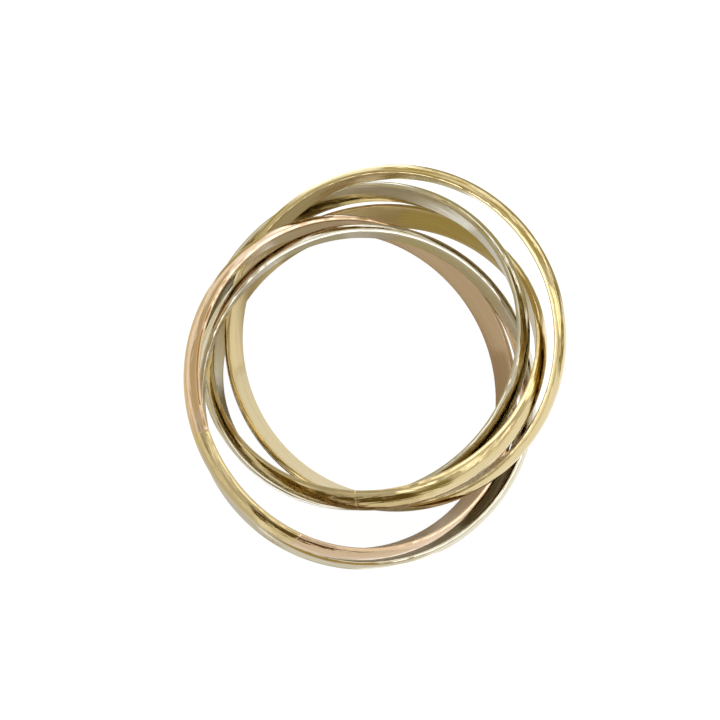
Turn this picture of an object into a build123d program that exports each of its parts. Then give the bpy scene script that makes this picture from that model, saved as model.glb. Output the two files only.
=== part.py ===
"""Rolling ring: five thin gold bands of one size, each linked once through every other.

The ring lies loosely on its side on a table. Each band leans on the others and touches the table
at its own low side. Millimetres, +Z up, origin on the table under the middle of the ring.
"""
import os
from math import cos, radians, sin

from build123d import *

# Driving dimensions of one band
FINGER_BORE = 18.6       # inside diameter, the finger size
BAND_WIDTH = 2.2         # along the finger
BAND_THICKNESS = 0.65    # from the bore to the crown of the dome
RIM_HEIGHT = 0.2         # straight side of the band, below the dome
EDGE_ROUND = 0.04        # worn rounding of the four edges

BORE_RADIUS = FINGER_BORE / 2
CROWN_RADIUS = BORE_RADIUS + BAND_THICKNESS

# How the bands lie, seen from above with +X right and +Y back.
# right_share, back_share: the band's centre from the heap's, as shares of the bore radius.
# low_side: degrees counter-clockwise from +X to the side that touches the table.
# lean: rise of the band's plane as a share of band width over bore radius.
BAND_POSES = {
    "yellow_band_outer": dict(right_share=0.177, back_share=0.117, low_side=232.1, lean=1.672),
    "rose_band": dict(right_share=-0.003, back_share=-0.144, low_side=354.1, lean=1.533),
    "white_band_lower": dict(right_share=0.047, back_share=-0.217, low_side=295.1, lean=1.144),
    "white_band_upper": dict(right_share=-0.013, back_share=0.150, low_side=175.6, lean=1.121),
    "yellow_band_front": dict(right_share=0.081, back_share=0.102, low_side=121.5, lean=1.241),
}


def band_section():
    """D-shaped section on the XZ plane: flat bore, two short rims and a domed outside."""
    half_width = BAND_WIDTH / 2
    shoulder = BORE_RADIUS + RIM_HEIGHT
    with BuildSketch(Plane.XZ) as section:
        with BuildLine():
            Polyline(
                (shoulder, -half_width),
                (BORE_RADIUS, -half_width),
                (BORE_RADIUS, half_width),
                (shoulder, half_width),
            )
            ThreePointArc((shoulder, half_width), (CROWN_RADIUS, 0), (shoulder, -half_width))
        make_face()
        fillet(section.vertices(), radius=EDGE_ROUND)
    return section.sketch


def band():
    """One closed band round the Z axis, centred on the origin."""
    return revolve(band_section(), axis=Axis.Z)


def band_plane(right_share, back_share, low_side, lean):
    """The plane that a band lies in, through its centre at table height."""
    rise = lean * BAND_WIDTH / BORE_RADIUS
    low_x = cos(radians(low_side))
    low_y = sin(radians(low_side))
    centre = (right_share * BORE_RADIUS, back_share * BORE_RADIUS, 0)
    return Plane(origin=centre, x_dir=(low_x, low_y, -rise), z_dir=(rise * low_x, rise * low_y, 1))


def resting_band(pose):
    """A band in its pose, raised until its low side touches the table."""
    leaning = band_plane(**pose) * band()
    return Pos(0, 0, -leaning.bounding_box().min.Z) * leaning


def rolling_ring():
    """All five bands, with the middle of their outline over the origin."""
    heap = {name: resting_band(pose) for name, pose in BAND_POSES.items()}
    boxes = [solid.bounding_box() for solid in heap.values()]
    middle_x = (min(box.min.X for box in boxes) + max(box.max.X for box in boxes)) / 2
    middle_y = (min(box.min.Y for box in boxes) + max(box.max.Y for box in boxes)) / 2
    return {name: Pos(-middle_x, -middle_y, 0) * solid for name, solid in heap.items()}


def main():
    os.makedirs("parts", exist_ok=True)
    for name, solid in rolling_ring().items():
        export_step(solid, f"parts/{name}.step")


main()
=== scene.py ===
"""Looks of the rolling ring: five polished gold bands lying linked on a pale table."""

from math import atan, cos, pi, radians, sin, sqrt

import bmesh
import bpy
import numpy as np
from mathutils import Matrix, Vector


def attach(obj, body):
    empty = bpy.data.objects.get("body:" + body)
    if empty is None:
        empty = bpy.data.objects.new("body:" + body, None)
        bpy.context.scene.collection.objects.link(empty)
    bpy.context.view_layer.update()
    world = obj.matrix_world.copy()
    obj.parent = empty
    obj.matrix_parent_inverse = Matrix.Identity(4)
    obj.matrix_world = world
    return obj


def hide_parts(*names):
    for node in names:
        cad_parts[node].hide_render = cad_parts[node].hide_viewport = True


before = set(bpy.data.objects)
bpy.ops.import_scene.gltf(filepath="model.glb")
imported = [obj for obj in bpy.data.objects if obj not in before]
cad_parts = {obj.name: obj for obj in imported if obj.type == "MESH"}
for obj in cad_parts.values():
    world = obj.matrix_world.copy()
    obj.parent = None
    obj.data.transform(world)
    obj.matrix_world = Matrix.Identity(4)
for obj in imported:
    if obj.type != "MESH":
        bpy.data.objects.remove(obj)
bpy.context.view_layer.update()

MM = 0.001

# Camera, from the photo: close above the ring, leaning a little to the front
CAMERA_ELEVATION = 75.2
CAMERA_DISTANCE = 50.7 * MM
CAMERA_TARGET = Vector((-0.80, 0.19, 4.0)) * MM
LENS_MM = 43.9
SENSOR_MM = 36.0
NEAREST_SEEN = 1 * MM
FARTHEST_SEEN = 10000 * MM

# Details of the D-shaped section that the mesh of a band can't give
RIM_HEIGHT = 0.2 * MM
EDGE_ROUND = 0.04 * MM

# A face belongs to a flat rim where the cosine of its tilt from the band's axis is over this
RIM_LIKENESS = 0.999

# Degrees round a band are counted from its right side, square to this direction
BACK = (0.0, 1.0, 0.0)

# Mesh density of a band
STEPS_ROUND = 480
STEPS_BORE = 8
STEPS_DOME = 30
STEPS_EDGE = 4
STEPS_RIM = 2

# The bore's worn gold reaches this far up the rounded edge
BORE_REACH = EDGE_ROUND / 4

# The mesh attributes that hold each point's place in its band's own directions, and how much
# of a card shows at each of its points
PLACE_ON_BAND = "place_on_band"
COVER = "cover"

# A solder seam is a faint groove across the band
SEAM_DEPTH = 0.004 * MM
SEAM_HALF_WIDTH = 0.03 * MM

# Colours of polished gold, linear light
YELLOW_GOLD = (0.66, 0.54, 0.295)
ROSE_GOLD = (0.71, 0.54, 0.385)
WHITE_GOLD = (0.66, 0.62, 0.51)

# Colour range of the gold along its hairlines, as shares of the colour
TONE_RANGE = (0.9, 1.08)

# The polish of the outside and the more worn one of the bore. roughness: lowest and highest.
# hair_height, wave_height: millimetres.
OUTSIDE_POLISH = dict(roughness=(0.03, 0.09), hair_height=0.010, wave_height=0.038)
BORE_POLISH = dict(roughness=(0.06, 0.12), hair_height=0.004, wave_height=0.02)

# Height of the fine waves as a share of the long ones'
FINE_WAVE_SHARE = 0.6

# Streaks in the polish. along, across: sizes of a streak in millimetres. tilt: degrees from
# the band's plane. detail: finer layers of noise.
HAIRS = dict(along=7.0, across=0.09, tilt=1.5, detail=3.0)
CROSS_HAIRS = dict(along=5.0, across=0.14, tilt=-4.0, detail=2.0)
WAVES = dict(along=5.0, across=0.8, tilt=0.0, detail=1.0)
FINE_WAVES = dict(along=1.0, across=0.3, tilt=3.0, detail=1.0)

# Streaks wander sideways by this much, and this many times in a millimetre
WANDER_DEPTH = 0.5 * MM
WANDERS_PER_MM = 0.3

# The part of a noise value's range that is used
NOISE_LOW = 0.3
NOISE_HIGH = 0.7

# Where the bands change colour or show a seam: degrees round the band, counter-clockwise
# from above, from the direction of +X
ROSE_INSERT = (201.6, 247.3)
FRONT_SEAM = 267.0

# Tints of the surroundings, linear light
WHITE = (1.0, 1.0, 1.0)
DAYLIGHT = (0.95, 1.0, 1.12)
CREAM = (1.05, 1.0, 0.88)
SAND = (1.09, 1.0, 0.77)
TAN = (1.13, 1.0, 0.66)
OLIVE = (1.18, 1.0, 0.44)
BROWN = (1.35, 0.92, 0.28)

# Surroundings that only the metal and the table see, as soft-edged patches of a dome.
# azimuth: from and to, degrees counter-clockwise from +X seen from above. rise: lowest and
# highest elevation in degrees. glow: brightness next to 1 for the lit table.
PATCH_FADE = 3.0
PATCH_STEP = 1.5
ROOM = dict(glow=0.64, tint=CREAM)
DOME_RADIUS = 400 * MM
PATCHES = {
    "front_grey": dict(azimuth=(222, 284), rise=(23, 48), glow=0.62, tint=WHITE),
    "front_high_shade": dict(azimuth=(264, 304), rise=(51, 84), glow=0.36, tint=BROWN),
    "front_right_window": dict(azimuth=(300, 330), rise=(22, 37), glow=0.95, tint=CREAM),
    "front_right_high": dict(azimuth=(300, 330), rise=(38, 65), glow=0.85, tint=CREAM),
    "right_front_wall": dict(azimuth=(304, 356), rise=(0, 21), glow=0.72, tint=CREAM),
    "right_high": dict(azimuth=(342, 374), rise=(34, 54), glow=1.0, tint=CREAM),
    "right_lamp": dict(azimuth=(357, 380), rise=(0, 24), glow=1.9, tint=CREAM),
    "right_back_olive": dict(azimuth=(28, 60), rise=(0, 21), glow=0.48, tint=OLIVE),
    "back_streak": dict(azimuth=(61, 79), rise=(4, 20), glow=1.1, tint=CREAM),
    "back_olive": dict(azimuth=(80, 99), rise=(0, 25), glow=0.48, tint=OLIVE),
    "back_window": dict(azimuth=(99, 124), rise=(0, 26), glow=1.5, tint=DAYLIGHT),
    "left_tan": dict(azimuth=(124, 192), rise=(0, 42), glow=0.58, tint=TAN),
    "left_olive": dict(azimuth=(192, 208), rise=(3, 15), glow=0.30, tint=OLIVE),
    "left_front_window": dict(azimuth=(204, 231), rise=(16, 31), glow=1.1, tint=WHITE),
    "overhead_back": dict(azimuth=(0, 126), rise=(36, 90), glow=1.05, tint=CREAM),
    "overhead_right": dict(azimuth=(304, 360), rise=(66, 89), glow=1.1, tint=WHITE),
}

# Smaller lamps and shades in front of the patches
LAMP_RADIUS = 385 * MM
LAMPS = {
    "front_lamp": dict(azimuth=(272, 298), rise=(23, 32), glow=2.4, tint=WHITE),
    "front_right_high_lamp": dict(azimuth=(299, 326), rise=(55, 63), glow=2.3, tint=WHITE),
    "overhead_right_lamp": dict(azimuth=(309, 348), rise=(67, 82), glow=2.4, tint=WHITE),
    "front_right_slat": dict(azimuth=(299, 322), rise=(20, 27), glow=2.4, tint=WHITE),
    "right_front_slat": dict(azimuth=(308, 347), rise=(12, 19), glow=2.6, tint=WHITE),
    "right_high_lamp": dict(azimuth=(352, 368), rise=(40, 47), glow=2.3, tint=WHITE),
    "right_gleam": dict(azimuth=(352, 372), rise=(56, 64), glow=1.8, tint=WHITE),
    "right_brown": dict(azimuth=(12, 34), rise=(57, 69), glow=0.40, tint=BROWN),
    "right_back_lamp": dict(azimuth=(22, 45), rise=(48.5, 58), glow=2.6, tint=WHITE),
    "right_back_wall": dict(azimuth=(19, 45), rise=(33, 48.5), glow=0.66, tint=TAN),
    "back_high_lamp": dict(azimuth=(86, 108), rise=(47, 59), glow=2.5, tint=WHITE),
    "back_high_shade": dict(azimuth=(109, 130), rise=(40, 62), glow=0.5, tint=CREAM),
    "left_back_glow": dict(azimuth=(127, 158), rise=(36, 51), glow=0.86, tint=CREAM),
    "left_back_shade": dict(azimuth=(128, 165), rise=(51, 62), glow=0.46, tint=OLIVE),
    "left_back_high_lamp": dict(azimuth=(140, 158), rise=(62, 70), glow=1.7, tint=WHITE),
    "left_high_shade": dict(azimuth=(186, 207), rise=(61, 74), glow=0.36, tint=OLIVE),
    "left_front_high_shade": dict(azimuth=(206, 250), rise=(42, 57), glow=0.28, tint=BROWN),
    "overhead_left_lamp": dict(azimuth=(207, 233), rise=(59, 76), glow=2.5, tint=WHITE),
    "overhead_left_glow": dict(azimuth=(231, 258), rise=(58, 76), glow=1.3, tint=WHITE),
}

# The dark front of the room, near the ring
NEAR_RADIUS = 60 * MM
NEAR_PATCHES = {
    "front_dark": dict(azimuth=(234, 287), rise=(0, 19), glow=0.11, tint=BROWN),
    "front_right_dark": dict(azimuth=(282, 304), rise=(0, 20), glow=0.28, tint=OLIVE),
}

# Lights and shades of the table round the ring, as soft-edged sectors that only the metal
# sees, each just under the one before. distance: from and to, in millimetres from the
# middle of the ring. The rest is as for the patches.
TABLE_FADE = 1.5
TABLE_TURN_FADE = 6.0
FADE_STOPS = 5
TABLE_SHADE_DROP = 0.001 * MM
TABLE_SHADES = {
    "right_shade": dict(azimuth=(-10, 27), distance=(24, 75), glow=0.28, tint=OLIVE),
    "right_inner_shade": dict(azimuth=(0, 62), distance=(8.4, 12), glow=0.62, tint=CREAM),
    "right_inner_gleam": dict(azimuth=(10, 92), distance=(2.5, 7.2), glow=0.54, tint=SAND),
    "back_inner_shade": dict(azimuth=(26, 84), distance=(6.2, 9.8), glow=0.36, tint=OLIVE),
    "back_left_inner_shade": dict(azimuth=(98, 129), distance=(6, 11), glow=0.36, tint=TAN),
    "back_left_near_shade": dict(azimuth=(98, 119), distance=(10.2, 14.4), glow=0.10, tint=BROWN),
    "left_inner_gleam": dict(azimuth=(126, 174), distance=(2.5, 8.2), glow=0.98, tint=CREAM),
    "back_right_shade": dict(azimuth=(18, 82), distance=(13, 33), glow=0.36, tint=OLIVE),
    "back_right_gleam": dict(azimuth=(26, 47), distance=(34, 58), glow=2.1, tint=WHITE),
    "back_right_far_shade": dict(azimuth=(24, 47), distance=(59, 390), glow=0.42, tint=OLIVE),
    "back_right_far_gleam": dict(azimuth=(52, 63), distance=(70, 390), glow=1.7, tint=WHITE),
    "back_near_shade": dict(azimuth=(61, 92), distance=(11.5, 19.5), glow=0.34, tint=OLIVE),
    "back_gleam": dict(azimuth=(79, 118), distance=(18, 36), glow=2.1, tint=WHITE),
    "back_far_shade": dict(azimuth=(64, 98), distance=(55, 390), glow=0.55, tint=OLIVE),
    "back_left_shade": dict(azimuth=(117, 147), distance=(12, 31), glow=0.42, tint=OLIVE),
    "left_shade": dict(azimuth=(146, 205), distance=(11.5, 28), glow=0.72, tint=TAN),
    "left_front_gleam": dict(azimuth=(196, 262), distance=(8.8, 12), glow=1.4, tint=WHITE),
    "left_front_shade": dict(azimuth=(188, 236), distance=(11.5, 40), glow=0.70, tint=CREAM),
    "front_gleam": dict(azimuth=(263, 294), distance=(10.4, 13.6), glow=1.5, tint=WHITE),
    "front_shade": dict(azimuth=(239, 290), distance=(12, 39), glow=0.84, tint=CREAM),
    "front_far_shade": dict(azimuth=(246, 290), distance=(38, 390), glow=0.14, tint=BROWN),
    "front_right_inner_shade": dict(azimuth=(297, 344), distance=(8.2, 10.7), glow=0.05, tint=BROWN),
    "front_right_gleam": dict(azimuth=(290, 356), distance=(14, 60), glow=1.15, tint=WHITE),
}

# The key light, softly shadowing the table inside the ring
KEY_DISTANCE = 300 * MM
KEY_AZIMUTH = 48.0
KEY_RISE = 50.0
KEY_DIAMETER = 110 * MM
KEY_WATTS = 0.95
KEY_TINT = (0.70, 0.85, 1.10)

# The table as the camera sees it, which glows to a plain white, and as the metal sees it
TABLE_SIDE = 4000 * MM
TABLE_ROUGHNESS = 0.8
TABLE_SEEN = dict(colour=(0.10, 0.10, 0.10), glow=0.97)
TABLE_MIRRORED = dict(colour=(0.85, 0.80, 0.70), glow=0.0)


def band_frame(node):
    """Place and sizes of a band, measured on its CAD mesh."""
    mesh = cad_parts[node].data
    points = np.array([vertex.co for vertex in mesh.vertices], float)
    rough_axis = np.linalg.svd(points - points.mean(0), full_matrices=False)[2][2]
    rough_axis *= np.sign(rough_axis[2])
    # The faces of the flat rims point exactly along the axis
    normals = np.array([face.normal for face in mesh.polygons])
    areas = np.array([face.area for face in mesh.polygons])
    along = normals @ rough_axis
    on_rim = np.abs(along) > RIM_LIKENESS
    axis = (np.sign(along) * areas)[on_rim] @ normals[on_rim]
    axis /= np.linalg.norm(axis)
    across = np.cross(BACK, axis)
    across /= np.linalg.norm(across)
    turned = np.array([across, np.cross(axis, across), axis])
    local = points @ turned.T
    middle = (local.min(0) + local.max(0)) / 2
    radial = np.hypot(*(local - middle)[:, :2].T)
    place = Matrix(turned.T.tolist()).to_4x4()
    place.translation = middle @ turned
    return {
        "place": place,
        "bore": radial.min(),
        "crown": radial.max(),
        "half_width": np.abs(local[:, 2] - middle[2]).max(),
    }


def arc(centre, radius, start, end, steps):
    """Points on an arc of a section, both ends included, angles in radians."""
    angles = np.linspace(start, end, steps + 1)
    return [(centre[0] + radius * cos(a), centre[1] + radius * sin(a)) for a in angles]


def band_section(band):
    """Closed outline of the band's section, as (radius, height) pairs round from the dome."""
    half = band["half_width"]
    sagitta = band["crown"] - band["bore"] - RIM_HEIGHT
    dome_radius = (half**2 + sagitta**2) / (2 * sagitta)
    dome_centre = band["crown"] - dome_radius
    # The edge between dome and rim is rounded by a circle that touches both
    edge_height = half - EDGE_ROUND
    edge_radius = dome_centre + sqrt((dome_radius - EDGE_ROUND) ** 2 - edge_height**2)
    bore_edge = band["bore"] + EDGE_ROUND
    dome_end = atan(edge_height / (edge_radius - dome_centre))
    upper = arc((dome_centre, 0), dome_radius, 0, dome_end, STEPS_DOME // 2)[1:]
    upper += arc((edge_radius, edge_height), EDGE_ROUND, dome_end, pi / 2, STEPS_EDGE)[1:]
    upper += [(r, half) for r in np.linspace(edge_radius, bore_edge, STEPS_RIM + 1)[1:]]
    upper += arc((bore_edge, edge_height), EDGE_ROUND, pi / 2, pi, STEPS_EDGE)[1:]
    upper += [(band["bore"], h) for h in np.linspace(edge_height, 0, STEPS_BORE // 2 + 1)[1:-1]]
    lower = [(r, -h) for r, h in upper[::-1]]
    return np.array([(band["crown"], 0)] + upper + [(band["bore"], 0)] + lower)


def drawn_in(outline, depth):
    """The outline drawn in by depth all round."""
    ahead = np.roll(outline, -1, 0) - np.roll(outline, 1, 0)
    outward = np.stack([ahead[:, 1], -ahead[:, 0]], 1)
    outward /= np.linalg.norm(outward, axis=1)[:, None]
    return outline - depth * outward


def band_piece(name, node, golds, start=0.0, sweep=360.0, soldered=False):
    """A stretch of a band as a closed mesh, with a faint groove at its soldered ends.

    golds: the material of the dome and rims, and that of the bore. start, sweep: degrees.
    """
    band = band_frame(node)
    outline = band_section(band)
    steps = round(STEPS_ROUND * sweep / 360)
    angles = np.radians(start + np.linspace(0, sweep, steps + 1))
    depths = np.zeros(steps + 1)
    if soldered:
        groove = SEAM_HALF_WIDTH / band["bore"]
        ends = angles[[0, -1]]
        inner = angles[1:-1]
        angles = np.concatenate([ends[:1], ends[:1] + groove, inner, ends[1:] - groove, ends[1:]])
        depths = np.concatenate([[SEAM_DEPTH], depths, [SEAM_DEPTH]])
    else:
        angles = angles[:-1]
    build = bmesh.new()
    rings = []
    for angle, depth in zip(angles, depths):
        section = drawn_in(outline, depth) if depth else outline
        rings.append([build.verts.new((r * cos(angle), r * sin(angle), h)) for r, h in section])
    closing = rings[1:] if soldered else rings[1:] + rings[:1]
    for here, there in zip(rings, closing):
        for j in range(len(outline)):
            after = (j + 1) % len(outline)
            face = build.faces.new((here[j], there[j], there[after], here[after]))
            face.smooth = True
            on_bore = (outline[j][0] + outline[after][0]) / 2 < band["bore"] + BORE_REACH
            face.material_index = 1 if on_bore else 0
    if soldered:
        build.faces.new(rings[0])
        build.faces.new(rings[-1][::-1])
    bmesh.ops.recalc_face_normals(build, faces=build.faces)
    mesh = bpy.data.meshes.new(name)
    build.to_mesh(mesh)
    build.free()
    for material in golds:
        mesh.materials.append(material)
    # The gold's grain follows the band, so each point keeps its place in the band's own directions
    upright = [c for vertex in mesh.vertices for c in vertex.co]
    mesh.attributes.new(PLACE_ON_BAND, "FLOAT_VECTOR", "POINT").data.foreach_set("vector", upright)
    mesh.transform(band["place"])
    piece = bpy.data.objects.new(name, mesh)
    bpy.context.scene.collection.objects.link(piece)
    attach(piece, node)
    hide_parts(node)
    return piece


def streaks(tree, along, across, tilt, detail):
    """Noise in long streaks that run nearly round the band."""
    place = tree.nodes.new("ShaderNodeAttribute")
    place.attribute_name = PLACE_ON_BAND
    wander = tree.nodes.new("ShaderNodeTexNoise")
    wander.inputs["Scale"].default_value = WANDERS_PER_MM / MM
    wander.inputs["Detail"].default_value = 0.0
    tree.links.new(place.outputs["Vector"], wander.inputs["Vector"])
    drift = tree.nodes.new("ShaderNodeVectorMath")
    drift.operation = "MULTIPLY_ADD"
    drift.inputs[1].default_value = (0, 0, WANDER_DEPTH)
    tree.links.new(wander.outputs["Color"], drift.inputs[0])
    tree.links.new(place.outputs["Vector"], drift.inputs[2])
    stretch = tree.nodes.new("ShaderNodeMapping")
    stretch.vector_type = "TEXTURE"
    stretch.inputs["Rotation"].default_value = (radians(tilt), radians(tilt), 0)
    stretch.inputs["Scale"].default_value = (along * MM, along * MM, across * MM)
    tree.links.new(drift.outputs["Vector"], stretch.inputs["Vector"])
    noise = tree.nodes.new("ShaderNodeTexNoise")
    noise.inputs["Scale"].default_value = 1.0
    noise.inputs["Detail"].default_value = detail
    tree.links.new(stretch.outputs["Vector"], noise.inputs["Vector"])
    return noise.outputs["Fac"]


def mapped(tree, value, low, high):
    """A noise value spread over the range from low to high."""
    spread = tree.nodes.new("ShaderNodeMapRange")
    spread.inputs["From Min"].default_value = NOISE_LOW
    spread.inputs["From Max"].default_value = NOISE_HIGH
    spread.inputs["To Min"].default_value = low
    spread.inputs["To Max"].default_value = high
    tree.links.new(value, spread.inputs["Value"])
    return spread.outputs["Result"]


def bumped(tree, value, height, under=None):
    """A bump of the given height, on top of another one."""
    bump = tree.nodes.new("ShaderNodeBump")
    bump.inputs["Strength"].default_value = 1.0
    bump.inputs["Distance"].default_value = height
    tree.links.new(value, bump.inputs["Height"])
    if under:
        tree.links.new(under, bump.inputs["Normal"])
    return bump.outputs["Normal"]


def gold(name, colour, roughness, hair_height, wave_height):
    """Polished gold, a little uneven from wear, with hairlines round the band."""
    material = bpy.data.materials.new(name)
    material.use_nodes = True
    tree = material.node_tree
    shader = tree.nodes["Principled BSDF"]
    shader.inputs["Metallic"].default_value = 1.0
    hairs = streaks(tree, **HAIRS)
    cross_hairs = streaks(tree, **CROSS_HAIRS)
    waves = streaks(tree, **WAVES)
    fine_waves = streaks(tree, **FINE_WAVES)
    tone = tree.nodes.new("ShaderNodeMix")
    tone.data_type = "RGBA"
    tone.inputs["A"].default_value = (*lit(TONE_RANGE[0], colour), 1)
    tone.inputs["B"].default_value = (*lit(TONE_RANGE[1], colour), 1)
    tree.links.new(mapped(tree, hairs, 0, 1), tone.inputs["Factor"])
    tree.links.new(tone.outputs["Result"], shader.inputs["Base Color"])
    tree.links.new(mapped(tree, cross_hairs, *roughness), shader.inputs["Roughness"])
    surface = bumped(tree, waves, wave_height * MM)
    surface = bumped(tree, fine_waves, wave_height * FINE_WAVE_SHARE * MM, surface)
    surface = bumped(tree, hairs, hair_height * MM, surface)
    surface = bumped(tree, cross_hairs, hair_height * MM, surface)
    tree.links.new(surface, shader.inputs["Normal"])
    return material


def band_golds(name, colour):
    """The polished gold of a band's outside and the more worn gold of its bore."""
    return gold(name, colour, **OUTSIDE_POLISH), gold(name + "_bore", colour, **BORE_POLISH)


def sheet(name, rows, material, cover=None):
    """A card given by rows of points."""
    height = len(rows)
    width = len(rows[0])
    points = [p for row in rows for p in row]
    faces = [
        (i * width + j, i * width + j + 1, (i + 1) * width + j + 1, (i + 1) * width + j)
        for i in range(height - 1)
        for j in range(width - 1)
    ]
    mesh = bpy.data.meshes.new(name)
    mesh.from_pydata(points, [], faces)
    mesh.materials.append(material)
    if cover is not None:
        mesh.attributes.new(COVER, "FLOAT", "POINT").data.foreach_set("value", cover)
    card = bpy.data.objects.new(name, mesh)
    bpy.context.scene.collection.objects.link(card)
    return card


def table_material(name, colour, glow):
    """A matt surface with a white glow of its own."""
    material = bpy.data.materials.new(name)
    material.use_nodes = True
    shader = material.node_tree.nodes["Principled BSDF"]
    shader.inputs["Base Color"].default_value = (*colour, 1)
    shader.inputs["Roughness"].default_value = TABLE_ROUGHNESS
    shader.inputs["Specular IOR Level"].default_value = 0.0
    shader.inputs["Emission Color"].default_value = (1, 1, 1, 1)
    shader.inputs["Emission Strength"].default_value = glow
    material.cycles.emission_sampling = "NONE"
    return material


def patch_material(name, glow):
    """A plain glow that fades to nothing where the card's cover does."""
    material = bpy.data.materials.new(name)
    material.use_nodes = True
    tree = material.node_tree
    tree.nodes.clear()
    light = tree.nodes.new("ShaderNodeEmission")
    light.inputs["Color"].default_value = (*glow, 1)
    clear = tree.nodes.new("ShaderNodeBsdfTransparent")
    cover = tree.nodes.new("ShaderNodeAttribute")
    cover.attribute_name = COVER
    blend = tree.nodes.new("ShaderNodeMixShader")
    output = tree.nodes.new("ShaderNodeOutputMaterial")
    tree.links.new(cover.outputs["Fac"], blend.inputs["Fac"])
    tree.links.new(clear.outputs["BSDF"], blend.inputs[1])
    tree.links.new(light.outputs["Emission"], blend.inputs[2])
    tree.links.new(blend.outputs["Shader"], output.inputs["Surface"])
    material.cycles.emission_sampling = "NONE"
    return material


def towards(azimuth, rise):
    """Direction from the ring, given in degrees."""
    turn = radians(azimuth)
    up = radians(rise)
    return Vector((cos(up) * cos(turn), cos(up) * sin(turn), sin(up)))


def lit(glow, tint):
    """A tint at the given brightness."""
    return tuple(glow * channel for channel in tint)


def spaced(ends):
    """Even stops in degrees from one end of a patch to the other."""
    return np.linspace(*ends, 2 + int((ends[1] - ends[0]) / PATCH_STEP))


def fading(values, fade, fade_low=True):
    """Cover along one side of a patch: 0 at its ends, 1 from the fade inwards."""
    inward = values[-1] - values
    if fade_low:
        inward = np.minimum(inward, values - values[0])
    share = np.clip(inward / fade, 0, 1)
    return share**2 * (3 - 2 * share)


def stops(ends, fade):
    """Distances across a sector, close together where its cover fades."""
    fading_in = fade * np.linspace(0, 1, FADE_STOPS)
    return np.concatenate([ends[0] + fading_in, ends[1] - fading_in[::-1]])


def patch(name, radius, azimuth, rise, glow, tint):
    """One soft-edged patch of the surroundings. One that stands on the table has no fade there."""
    turns = spaced(azimuth)
    rises = spaced(rise)
    rows = [[radius * towards(turn, up) for turn in turns] for up in rises]
    cover = np.outer(fading(rises, PATCH_FADE, rise[0] > 0), fading(turns, PATCH_FADE)).ravel()
    sheet(name, rows, patch_material(name, lit(glow, tint)), cover).visible_camera = False


def table_shade(name, depth, azimuth, distance, glow, tint):
    """One soft-edged sector of the table, a very little above the table that the metal sees."""
    turns = spaced(azimuth)
    reach = stops(distance, TABLE_FADE)
    rows = [
        [(far * MM * cos(turn), far * MM * sin(turn), -depth) for turn in np.radians(turns)]
        for far in reach
    ]
    cover = np.outer(fading(reach, TABLE_FADE), fading(turns, TABLE_TURN_FADE)).ravel()
    card = sheet(name, rows, patch_material(name, lit(glow, tint)), cover)
    card.visible_camera = False
    card.visible_diffuse = False


def surroundings():
    """A pale room, with patches of dark and light that the camera doesn't see."""
    world = bpy.data.worlds.new("pale_room")
    bpy.context.scene.world = world
    world.use_nodes = True
    background = world.node_tree.nodes["Background"]
    background.inputs["Color"].default_value = (*lit(**ROOM), 1)
    background.inputs["Strength"].default_value = 1.0
    for radius, rows in ((DOME_RADIUS, PATCHES), (LAMP_RADIUS, LAMPS), (NEAR_RADIUS, NEAR_PATCHES)):
        for name, place in rows.items():
            patch(name, radius, **place)
    for i, (name, place) in enumerate(TABLE_SHADES.items()):
        table_shade(name, (i + 1) * TABLE_SHADE_DROP, **place)


def key_light():
    """A round soft light from the back right, not seen in the metal."""
    data = bpy.data.lights.new("key_light", "AREA")
    data.shape = "DISK"
    data.size = KEY_DIAMETER
    data.energy = KEY_WATTS
    data.color = KEY_TINT
    lamp = bpy.data.objects.new("key_light", data)
    outward = towards(KEY_AZIMUTH, KEY_RISE)
    lamp.location = outward * KEY_DISTANCE
    lamp.rotation_euler = outward.to_track_quat("Z", "Y").to_euler()
    lamp.visible_glossy = False
    bpy.context.scene.collection.objects.link(lamp)


def table_tops():
    """The pale table as the camera sees it, and as the metal above it does."""
    half = TABLE_SIDE / 2
    corners = [[(-half, -half, 0), (half, -half, 0)], [(-half, half, 0), (half, half, 0)]]
    seen = sheet("table_top", corners, table_material("table_white", **TABLE_SEEN))
    seen.visible_glossy = False
    seen.visible_diffuse = False
    seen.visible_shadow = False
    matt = table_material("table_mirrored", **TABLE_MIRRORED)
    mirrored = sheet("table_top_mirrored", corners, matt)
    mirrored.location.z = -(len(TABLE_SHADES) + 1) * TABLE_SHADE_DROP
    mirrored.visible_camera = False


def camera():
    """The camera at the photo's angle, close above the ring."""
    data = bpy.data.cameras.new("photo_camera")
    data.lens = LENS_MM
    data.sensor_width = SENSOR_MM
    data.clip_start = NEAREST_SEEN
    data.clip_end = FARTHEST_SEEN
    lean = radians(CAMERA_ELEVATION)
    view = bpy.data.objects.new("photo_camera", data)
    view.location = CAMERA_TARGET + Vector((0, -cos(lean), sin(lean))) * CAMERA_DISTANCE
    view.rotation_euler = (pi / 2 - lean, 0, 0)
    bpy.context.scene.collection.objects.link(view)
    bpy.context.scene.camera = view


def bands():
    """All five bands in their golds, with the let-in stretch and the seams."""
    yellow = band_golds("yellow_gold", YELLOW_GOLD)
    rose = band_golds("rose_gold", ROSE_GOLD)
    white = band_golds("white_gold", WHITE_GOLD)
    band_piece("yellow_band_outer_gold", "yellow_band_outer", yellow)
    band_piece("white_band_lower_gold", "white_band_lower", white)
    band_piece("white_band_upper_gold", "white_band_upper", white)
    band_piece(
        "yellow_band_front_gold",
        "yellow_band_front",
        yellow,
        start=FRONT_SEAM,
        soldered=True,
    )
    start, end = ROSE_INSERT
    sweep = end - start
    band_piece("rose_band_gold", "rose_band", rose, end, 360 - sweep, soldered=True)
    band_piece("rose_band_insert", "rose_band", yellow, start, sweep, soldered=True)


camera()
surroundings()
key_light()
table_tops()
bands()
bpy.context.scene.view_settings.view_transform = "Standard"
